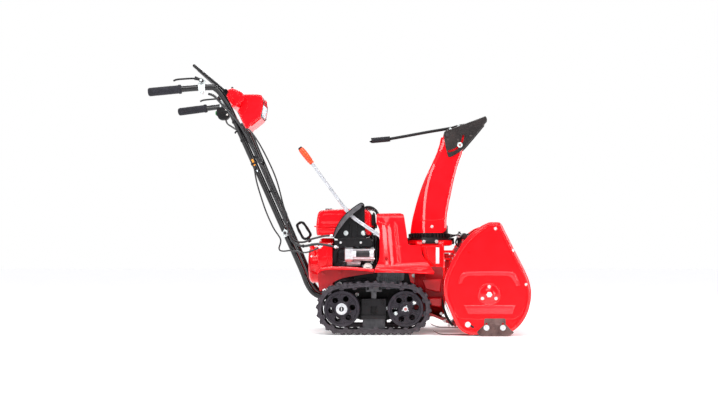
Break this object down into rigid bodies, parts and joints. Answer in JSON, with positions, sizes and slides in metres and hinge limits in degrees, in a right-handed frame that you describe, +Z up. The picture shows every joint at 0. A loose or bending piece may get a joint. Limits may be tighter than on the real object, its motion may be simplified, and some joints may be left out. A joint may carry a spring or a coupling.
{
  "type": "tracked snow blower",
  "caption": "Walk-behind snow blower on rubber tracks, with an auger housing, a turning discharge chute with a tilting deflector, an engine and long handlebars.",
  "frame": {"origin": "on the ground under the middle of the machine's bounding box", "axes": "+X forwards towards the auger, +Y to the machine's left, +Z up"},
  "size_m": [1.4764, 0.6318, 1.056],
  "materials": {
    "red_paint": "gloss red enamel",
    "red_plastic": "gloss red moulded plastic",
    "black_paint": "satin black paint",
    "black_steel": "semi-gloss black paint",
    "black_plastic": "fine texture",
    "track_rubber": "moulded rubber, slightly dusty",
    "grip_rubber": "soft ribbed rubber",
    "belt_rubber": "V-belt",
    "wheel_iron": "dark painted casting",
    "slide_plastic": "low friction slide",
    "cast_grey": "as cast",
    "engine_dark": "painted casting",
    "dark_steel": "heat resistant paint",
    "bright_steel": "turned steel",
    "zinc_steel": "zinc plated",
    "worn_steel": "worn, partly painted",
    "white_plastic": "moulded",
    "white_lever": "white powder coat",
    "green_plastic": "moulded",
    "cable_sheath": "extruded sheath",
    "clear_lens": "clear lens"
  },
  "bodies": {
    "undercarriage": {"track_frames": "black_steel", "track_belt_right": "track_rubber", "track_belt_left": "track_rubber", "front_axle": "bright_steel", "track_guides": "slide_plastic"},
    "chassis": {"main_frame": "black_steel", "transmission_case": "cast_grey", "engine_block": "engine_dark", "cylinder": "cast_grey", "fan_cover": "red_paint", "recoil_starter": "red_paint", "fuel_tank": "red_paint", "muffler": "dark_steel", "carburettor": "cast_grey", "starter_motor": "bright_steel", "lever_gate": "black_plastic", "belt_cover": "red_plastic", "fenders": "red_plastic", "battery": "black_plastic", "blower_housing": "red_paint", "auger_housing": "red_paint", "side_plate_right": "red_paint", "side_plate_left": "red_paint", "skid_shoes": "worn_steel", "scraper_blade": "worn_steel", "auger_gearbox": "black_steel", "handlebars": "black_steel", "handle_grips": "grip_rubber", "control_console": "red_plastic", "switch_box": "black_plastic", "headlight_housing": "red_plastic", "headlight_lens": "clear_lens", "control_cables": "cable_sheath", "chute_base": "black_steel", "fasteners": "zinc_steel", "drive_belts": "belt_rubber"},
    "drive_right": {"half_shaft_right": "bright_steel", "drive_wheel_right": "wheel_iron"},
    "drive_left": {"half_shaft_left": "bright_steel", "drive_wheel_left": "wheel_iron"},
    "idler_right": {"idler_wheel_right": "wheel_iron"},
    "idler_left": {"idler_wheel_left": "wheel_iron"},
    "crank": {"crank_pulley": "bright_steel"},
    "blower_rotor": {"impeller": "red_paint"},
    "auger_rotor": {"auger": "red_paint"},
    "chute_head": {"chute_ring": "black_plastic", "chute": "red_paint"},
    "deflector_hood": {"deflector": "black_paint", "deflector_handle": "black_paint"},
    "latch": {"chute_latch": "black_steel"},
    "drive_lever": {"shift_lever": "white_lever"},
    "bail": {"clutch_bail": "black_paint"},
    "turn_lever_right": {"side_lever_right": "black_plastic"},
    "turn_lever_left": {"side_lever_left": "black_plastic"},
    "pull_grip": {"recoil_grip": "black_plastic"},
    "throttle": {"throttle_lever": "black_plastic"},
    "key": {"ignition_key": "black_plastic"},
    "start_button": {"auger_button": "green_plastic"},
    "tank_cap": {"fuel_cap": "black_plastic"},
    "dipstick": {"oil_cap": "white_plastic"}
  },
  "joints": [
    {"name": "body_tilt", "type": "hinge", "parent": "undercarriage", "child": "chassis", "pos_m": [0.008, 0, 0.102], "axis": [0, -1, 0], "range_deg": [0, 7]},
    {"name": "right_track_drive", "type": "hinge", "parent": "undercarriage", "child": "drive_right", "pos_m": [0.008, -0.197, 0.102], "axis": [0, 1, 0], "continuous": true},
    {"name": "left_track_drive", "type": "hinge", "parent": "undercarriage", "child": "drive_left", "pos_m": [0.008, 0.197, 0.102], "axis": [0, 1, 0], "continuous": true},
    {"name": "right_idler_spin", "type": "hinge", "parent": "undercarriage", "child": "idler_right", "pos_m": [0.256, -0.197, 0.102], "axis": [0, 1, 0], "continuous": true},
    {"name": "left_idler_spin", "type": "hinge", "parent": "undercarriage", "child": "idler_left", "pos_m": [0.256, 0.197, 0.102], "axis": [0, 1, 0], "continuous": true},
    {"name": "crank_spin", "type": "hinge", "parent": "chassis", "child": "crank", "pos_m": [0.2, 0, 0.287], "axis": [1, 0, 0], "continuous": true},
    {"name": "auger_spin", "type": "hinge", "parent": "chassis", "child": "auger_rotor", "pos_m": [0.577, 0, 0.16], "axis": [0, 1, 0], "continuous": true},
    {"name": "blower_spin", "type": "hinge", "parent": "chassis", "child": "blower_rotor", "pos_m": [0.4, 0, 0.203], "axis": [1, 0, 0], "continuous": true},
    {"name": "chute_turn", "type": "hinge", "parent": "chassis", "child": "chute_head", "pos_m": [0.355, 0, 0.39], "axis": [0, 0, 1], "range_deg": [-100, 100]},
    {"name": "deflector_tilt", "type": "hinge", "parent": "chute_head", "child": "deflector_hood", "pos_m": [0.424, 0, 0.797], "axis": [0, -1, 0], "range_deg": [-18, 45]},
    {"name": "latch_swing", "type": "hinge", "parent": "chassis", "child": "latch", "pos_m": [0.478, 0.014, 0.398], "axis": [0, 0, 1], "range_deg": [0, 20], "stiffness_Nm_per_rad": 0.05, "springref_deg": -11.46},
    {"name": "drive_lever_swing", "type": "hinge", "parent": "chassis", "child": "drive_lever", "pos_m": [0.165, -0.14, 0.381], "axis": [0, -1, 0], "range_deg": [-11, 11]},
    {"name": "clutch_bail_press", "type": "hinge", "parent": "chassis", "child": "bail", "pos_m": [-0.45, 0, 0.953], "axis": [0, -1, 0], "range_deg": [0, 29], "stiffness_Nm_per_rad": 6, "springref_deg": -17.19},
    {"name": "right_turn_squeeze", "type": "hinge", "parent": "chassis", "child": "turn_lever_right", "pos_m": [-0.534, -0.262, 0.988], "axis": [0, -1, 0], "range_deg": [0, 8], "stiffness_Nm_per_rad": 1, "springref_deg": -17.19},
    {"name": "left_turn_squeeze", "type": "hinge", "parent": "chassis", "child": "turn_lever_left", "pos_m": [-0.534, 0.262, 0.988], "axis": [0, -1, 0], "range_deg": [0, 8], "stiffness_Nm_per_rad": 1, "springref_deg": -17.19},
    {"name": "starter_pull", "type": "slide", "parent": "chassis", "child": "pull_grip", "axis": [-0.5, 0, 0.866], "range_m": [0, 0.28], "stiffness_N_per_m": 20, "springref_m": -0.05},
    {"name": "throttle_swing", "type": "hinge", "parent": "chassis", "child": "throttle", "pos_m": [-0.448, 0.058, 0.95], "axis": [0, 1, 0], "range_deg": [-20, 20]},
    {"name": "key_turn", "type": "hinge", "parent": "chassis", "child": "key", "pos_m": [-0.446, -0.06, 0.975], "axis": [0, 0, -1], "range_deg": [0, 60]},
    {"name": "button_press", "type": "slide", "parent": "chassis", "child": "start_button", "axis": [1, 0, 0], "range_m": [0, 0.004], "stiffness_N_per_m": 400},
    {"name": "fuel_cap_turn", "type": "hinge", "parent": "chassis", "child": "tank_cap", "pos_m": [0.008, 0.03, 0.49], "axis": [0, 0, 1], "range_deg": [0, 90]},
    {"name": "dipstick_turn", "type": "hinge", "parent": "chassis", "child": "dipstick", "pos_m": [0.104, -0.112, 0.262], "axis": [0.1752, -0.92, 0.3505], "range_deg": [0, 360]}
  ],
  "couplings": [
    {"joint": "right_idler_spin", "follows": "right_track_drive", "ratio": 1},
    {"joint": "left_idler_spin", "follows": "left_track_drive", "ratio": 1},
    {"joint": "blower_spin", "follows": "auger_spin", "ratio": 10}
  ]
}
